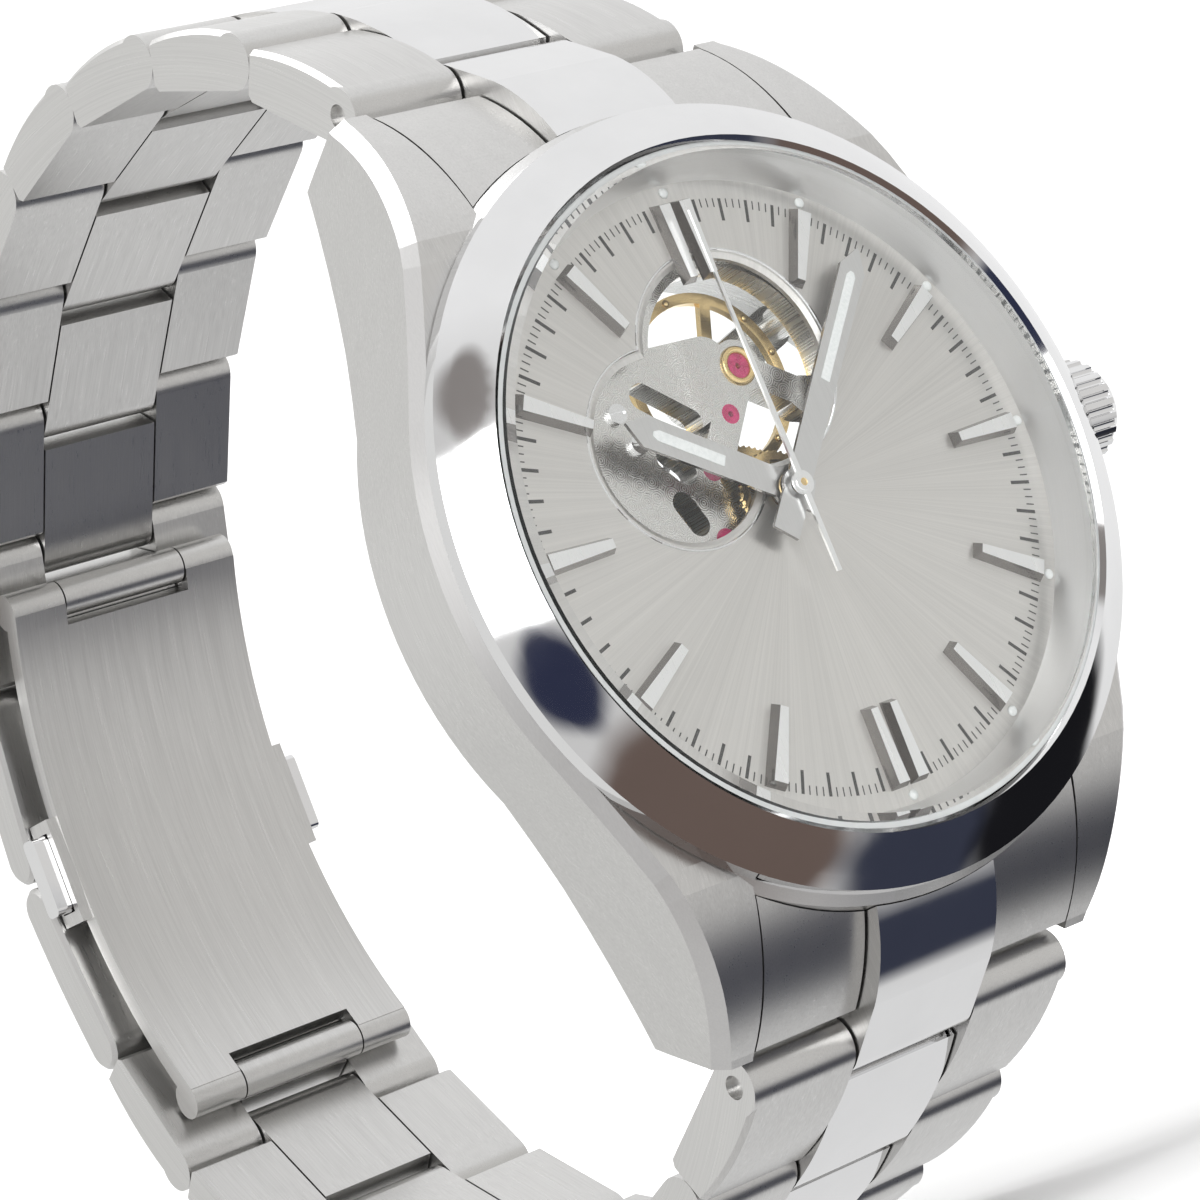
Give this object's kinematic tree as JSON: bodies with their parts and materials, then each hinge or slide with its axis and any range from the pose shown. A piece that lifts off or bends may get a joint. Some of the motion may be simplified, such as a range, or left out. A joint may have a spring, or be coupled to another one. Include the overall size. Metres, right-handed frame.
{
  "type": "open-heart automatic wristwatch",
  "caption": "Round steel automatic wristwatch with an open-heart dial showing its balance, a glazed back, a three-row link bracelet and a folding butterfly clasp.",
  "frame": {"origin": "on the axis of the hands, at the dial front surface; the whole watch is held there by its case", "axes": "+Z towards 12 o'clock, +X towards 3 o'clock and the crown, dial facing -Y, wrist on the +Y side"},
  "size_m": [0.0432, 0.0724, 0.0723],
  "materials": {
    "brushed_steel": "brushed",
    "polished_steel": "polished",
    "sapphire": "clear polished",
    "dial_silver": "sunray lacquer",
    "flange_silver": "satin",
    "gasket": "matt",
    "holder": "moulded",
    "nickel_plate": "nickel plated",
    "gilt_brass": "gilt",
    "blank_steel": "plain steel",
    "rotor_metal": "nickel plated",
    "ruby": "polished"
  },
  "bodies": {
    "case": {"case_middle": "brushed_steel", "bezel": "polished_steel", "crystal": "sapphire", "dial_flange": "flange_silver", "dial": "dial_silver", "hour_markers": "polished_steel", "case_back": "polished_steel", "case_back_crystal": "sapphire", "gaskets": "gasket", "movement_holder": "holder", "crown_tube": "blank_steel", "main_plate": "nickel_plate", "train_bridge": "nickel_plate", "balance_bridge": "nickel_plate", "automatic_bridge": "nickel_plate", "jewels": "ruby", "movement_screws": "blank_steel", "end_link_12": "brushed_steel", "end_link_6": "brushed_steel", "spring_bars": "blank_steel"},
    "crown_pull": {"crown_gasket": "gasket"},
    "crown_turn": {"crown": "polished_steel", "winding_stem": "blank_steel"},
    "hour": {"hour_hand": "polished_steel", "hour_wheel": "gilt_brass"},
    "minute": {"minute_hand": "polished_steel", "centre_wheel": "gilt_brass"},
    "seconds": {"seconds_hand": "polished_steel", "fourth_wheel": "gilt_brass"},
    "third_wheel": {"third_wheel": "gilt_brass"},
    "escape_wheel": {"escape_wheel": "blank_steel"},
    "minute_wheel": {"minute_wheel": "gilt_brass"},
    "barrel": {"mainspring_barrel": "gilt_brass"},
    "balance": {"balance_wheel": "gilt_brass", "hairspring": "blank_steel"},
    "fork": {"pallet_fork": "blank_steel"},
    "rotor": {"rotor": "rotor_metal"},
    "link_12_1": {"link_12_1": "brushed_steel"},
    "link_12_2": {"link_12_2": "brushed_steel"},
    "link_12_3": {"link_12_3": "brushed_steel"},
    "link_12_4": {"link_12_4": "brushed_steel"},
    "link_12_5": {"link_12_5": "brushed_steel"},
    "link_12_6": {"link_12_6": "brushed_steel"},
    "link_12_7": {"link_12_7": "brushed_steel"},
    "link_12_8": {"link_12_8": "brushed_steel"},
    "link_12_9": {"link_12_9": "brushed_steel"},
    "link_6_1": {"link_6_1": "brushed_steel"},
    "link_6_2": {"link_6_2": "brushed_steel"},
    "link_6_3": {"link_6_3": "brushed_steel"},
    "link_6_4": {"link_6_4": "brushed_steel"},
    "link_6_5": {"link_6_5": "brushed_steel"},
    "link_6_6": {"link_6_6": "brushed_steel"},
    "link_6_7": {"link_6_7": "brushed_steel"},
    "link_6_8": {"link_6_8": "brushed_steel"},
    "link_6_9": {"link_6_9": "brushed_steel"},
    "clasp_arm_12": {"clasp_arm_12": "brushed_steel"},
    "clasp_arm_6": {"clasp_arm_6": "brushed_steel"},
    "clasp_plate": {"clasp_plate": "brushed_steel"},
    "clasp_button_left": {"clasp_button_left": "brushed_steel"},
    "clasp_button_right": {"clasp_button_right": "brushed_steel"}
  },
  "joints": [
    {"name": "seconds_turn", "type": "hinge", "parent": "case", "child": "seconds", "pos_m": [0, 0, 0], "axis": [0, 1, 0], "continuous": true},
    {"name": "minute_turn", "type": "hinge", "parent": "case", "child": "minute", "pos_m": [0, 0, 0], "axis": [0, 1, 0], "continuous": true},
    {"name": "hour_turn", "type": "hinge", "parent": "case", "child": "hour", "pos_m": [0, 0, 0], "axis": [0, 1, 0], "continuous": true},
    {"name": "third_turn", "type": "hinge", "parent": "case", "child": "third_wheel", "pos_m": [-0.0035, 0, -0.0012], "axis": [0, 1, 0], "continuous": true},
    {"name": "escape_turn", "type": "hinge", "parent": "case", "child": "escape_wheel", "pos_m": [-0.0027, 0, 0.0022], "axis": [0, 1, 0], "continuous": true},
    {"name": "barrel_turn", "type": "hinge", "parent": "case", "child": "barrel", "pos_m": [0.0052, 0, -0.0039], "axis": [0, 1, 0], "continuous": true},
    {"name": "minute_wheel_turn", "type": "hinge", "parent": "case", "child": "minute_wheel", "pos_m": [0.00198, 0, -0.00198], "axis": [0, 1, 0], "continuous": true},
    {"name": "balance_swing", "type": "hinge", "parent": "case", "child": "balance", "pos_m": [0.0012, 0, 0.0067], "axis": [0, 1, 0], "range_deg": [-270, 270], "stiffness_Nm_per_rad": 0.000001},
    {"name": "fork_swing", "type": "hinge", "parent": "case", "child": "fork", "pos_m": [-0.00036, 0, 0.00455], "axis": [0, 1, 0], "range_deg": [-5.5, 5.5]},
    {"name": "rotor_turn", "type": "hinge", "parent": "case", "child": "rotor", "pos_m": [0, 0, 0], "axis": [0, 1, 0], "continuous": true},
    {"name": "crown_pull", "type": "slide", "parent": "case", "child": "crown_pull", "axis": [1, 0, 0], "range_m": [0, 0.0012]},
    {"name": "crown_turn", "type": "hinge", "parent": "crown_pull", "child": "crown_turn", "pos_m": [0, 0.0026, 0], "axis": [1, 0, 0], "continuous": true},
    {"name": "bracelet_fold", "type": "hinge", "parent": "case", "child": "link_12_1", "pos_m": [0, 0.00725, 0.02495], "axis": [1, 0, 0], "range_deg": [0, 15]},
    {"name": "link_12_2_fold", "type": "hinge", "parent": "link_12_1", "child": "link_12_2", "pos_m": [0, 0.01399, 0.03091], "axis": [1, 0, 0], "range_deg": [0, 17.4]},
    {"name": "link_12_3_fold", "type": "hinge", "parent": "link_12_2", "child": "link_12_3", "pos_m": [0, 0.02221, 0.03459], "axis": [1, 0, 0], "range_deg": [0, 16.4]},
    {"name": "link_12_4_fold", "type": "hinge", "parent": "link_12_3", "child": "link_12_4", "pos_m": [0, 0.03112, 0.0358], "axis": [1, 0, 0], "range_deg": [0, 15.4]},
    {"name": "link_12_5_fold", "type": "hinge", "parent": "link_12_4", "child": "link_12_5", "pos_m": [0, 0.04004, 0.03459], "axis": [1, 0, 0], "range_deg": [0, 14.4]},
    {"name": "link_12_6_fold", "type": "hinge", "parent": "link_12_5", "child": "link_12_6", "pos_m": [0, 0.04838, 0.03121], "axis": [1, 0, 0], "range_deg": [0, 13.4]},
    {"name": "link_12_7_fold", "type": "hinge", "parent": "link_12_6", "child": "link_12_7", "pos_m": [0, 0.05571, 0.02598], "axis": [1, 0, 0], "range_deg": [0, 12.4]},
    {"name": "link_12_8_fold", "type": "hinge", "parent": "link_12_7", "child": "link_12_8", "pos_m": [0, 0.06175, 0.0193], "axis": [1, 0, 0], "range_deg": [0, 15]},
    {"name": "link_12_9_fold", "type": "hinge", "parent": "link_12_8", "child": "link_12_9", "pos_m": [0, 0.06585, 0.01129], "axis": [1, 0, 0], "range_deg": [0, 15]},
    {"name": "link_6_1_fold", "type": "hinge", "parent": "case", "child": "link_6_1", "pos_m": [0, 0.00725, -0.02495], "axis": [-1, 0, 0], "range_deg": [0, 15]},
    {"name": "link_6_2_fold", "type": "hinge", "parent": "link_6_1", "child": "link_6_2", "pos_m": [0, 0.01512, -0.02931], "axis": [-1, 0, 0], "range_deg": [0, 9.57]},
    {"name": "link_6_3_fold", "type": "hinge", "parent": "link_6_2", "child": "link_6_3", "pos_m": [0, 0.02361, -0.03231], "axis": [-1, 0, 0], "range_deg": [0, 11.13]},
    {"name": "link_6_4_fold", "type": "hinge", "parent": "link_6_3", "child": "link_6_4", "pos_m": [0, 0.03251, -0.03361], "axis": [-1, 0, 0], "range_deg": [0, 12.69]},
    {"name": "link_6_5_fold", "type": "hinge", "parent": "link_6_4", "child": "link_6_5", "pos_m": [0, 0.04149, -0.03292], "axis": [-1, 0, 0], "range_deg": [0, 14.24]},
    {"name": "link_6_6_fold", "type": "hinge", "parent": "link_6_5", "child": "link_6_6", "pos_m": [0, 0.05002, -0.03004], "axis": [-1, 0, 0], "range_deg": [0, 15.8]},
    {"name": "link_6_7_fold", "type": "hinge", "parent": "link_6_6", "child": "link_6_7", "pos_m": [0, 0.05744, -0.02495], "axis": [-1, 0, 0], "range_deg": [0, 17.35]},
    {"name": "link_6_8_fold", "type": "hinge", "parent": "link_6_7", "child": "link_6_8", "pos_m": [0, 0.06301, -0.01788], "axis": [-1, 0, 0], "range_deg": [0, 15]},
    {"name": "link_6_9_fold", "type": "hinge", "parent": "link_6_8", "child": "link_6_9", "pos_m": [0, 0.06656, -0.00961], "axis": [-1, 0, 0], "range_deg": [0, 15]},
    {"name": "clasp_arm_12_fold", "type": "hinge", "parent": "link_12_9", "child": "clasp_arm_12", "pos_m": [0, 0.06774, 0.00249], "axis": [1, 0, 0], "range_deg": [0, 90]},
    {"name": "clasp_arm_6_fold", "type": "hinge", "parent": "link_6_9", "child": "clasp_arm_6", "pos_m": [0, 0.06785, -0.00071], "axis": [-1, 0, 0], "range_deg": [0, 60]},
    {"name": "clasp_plate_fold", "type": "hinge", "parent": "clasp_arm_12", "child": "clasp_plate", "pos_m": [0, 0.06034, 0.0159], "axis": [1, 0, 0], "range_deg": [-162, 0]},
    {"name": "button_left_press", "type": "slide", "parent": "clasp_plate", "child": "clasp_button_left", "axis": [1, 0, 0], "range_m": [0, 0.0006], "stiffness_N_per_m": 800, "springref_m": -0.0002},
    {"name": "button_right_press", "type": "slide", "parent": "clasp_plate", "child": "clasp_button_right", "axis": [-1, 0, 0], "range_m": [0, 0.0006], "stiffness_N_per_m": 800, "springref_m": -0.0002}
  ],
  "couplings": [
    {"joint": "minute_turn", "follows": "seconds_turn", "ratio": 0.016667},
    {"joint": "hour_turn", "follows": "seconds_turn", "ratio": 0.0013889},
    {"joint": "third_turn", "follows": "seconds_turn", "ratio": -0.13333},
    {"joint": "escape_turn", "follows": "seconds_turn", "ratio": -9},
    {"joint": "barrel_turn", "follows": "seconds_turn", "ratio": -0.002381},
    {"joint": "minute_wheel_turn", "follows": "seconds_turn", "ratio": -0.0055556},
    {"joint": "fork_swing", "follows": "balance_swing", "ratio": -0.02},
    {"joint": "link_12_2_fold", "follows": "bracelet_fold", "ratio": 1.1599},
    {"joint": "link_12_3_fold", "follows": "bracelet_fold", "ratio": 1.0932},
    {"joint": "link_12_4_fold", "follows": "bracelet_fold", "ratio": 1.0265},
    {"joint": "link_12_5_fold", "follows": "bracelet_fold", "ratio": 0.95987},
    {"joint": "link_12_6_fold", "follows": "bracelet_fold", "ratio": 0.8932},
    {"joint": "link_12_7_fold", "follows": "bracelet_fold", "ratio": 0.82653},
    {"joint": "link_12_8_fold", "follows": "bracelet_fold", "ratio": 1},
    {"joint": "link_12_9_fold", "follows": "bracelet_fold", "ratio": 1},
    {"joint": "link_6_1_fold", "follows": "bracelet_fold", "ratio": 1},
    {"joint": "link_6_2_fold", "follows": "bracelet_fold", "ratio": 0.6382},
    {"joint": "link_6_3_fold", "follows": "bracelet_fold", "ratio": 0.74193},
    {"joint": "link_6_4_fold", "follows": "bracelet_fold", "ratio": 0.84567},
    {"joint": "link_6_5_fold", "follows": "bracelet_fold", "ratio": 0.9494},
    {"joint": "link_6_6_fold", "follows": "bracelet_fold", "ratio": 1.0531},
    {"joint": "link_6_7_fold", "follows": "bracelet_fold", "ratio": 1.1569},
    {"joint": "link_6_8_fold", "follows": "bracelet_fold", "ratio": 1},
    {"joint": "link_6_9_fold", "follows": "bracelet_fold", "ratio": 1},
    {"joint": "clasp_arm_12_fold", "follows": "bracelet_fold", "ratio": 6},
    {"joint": "clasp_arm_6_fold", "follows": "bracelet_fold", "ratio": 4},
    {"joint": "clasp_plate_fold", "follows": "bracelet_fold", "ratio": -10.8}
  ]
}
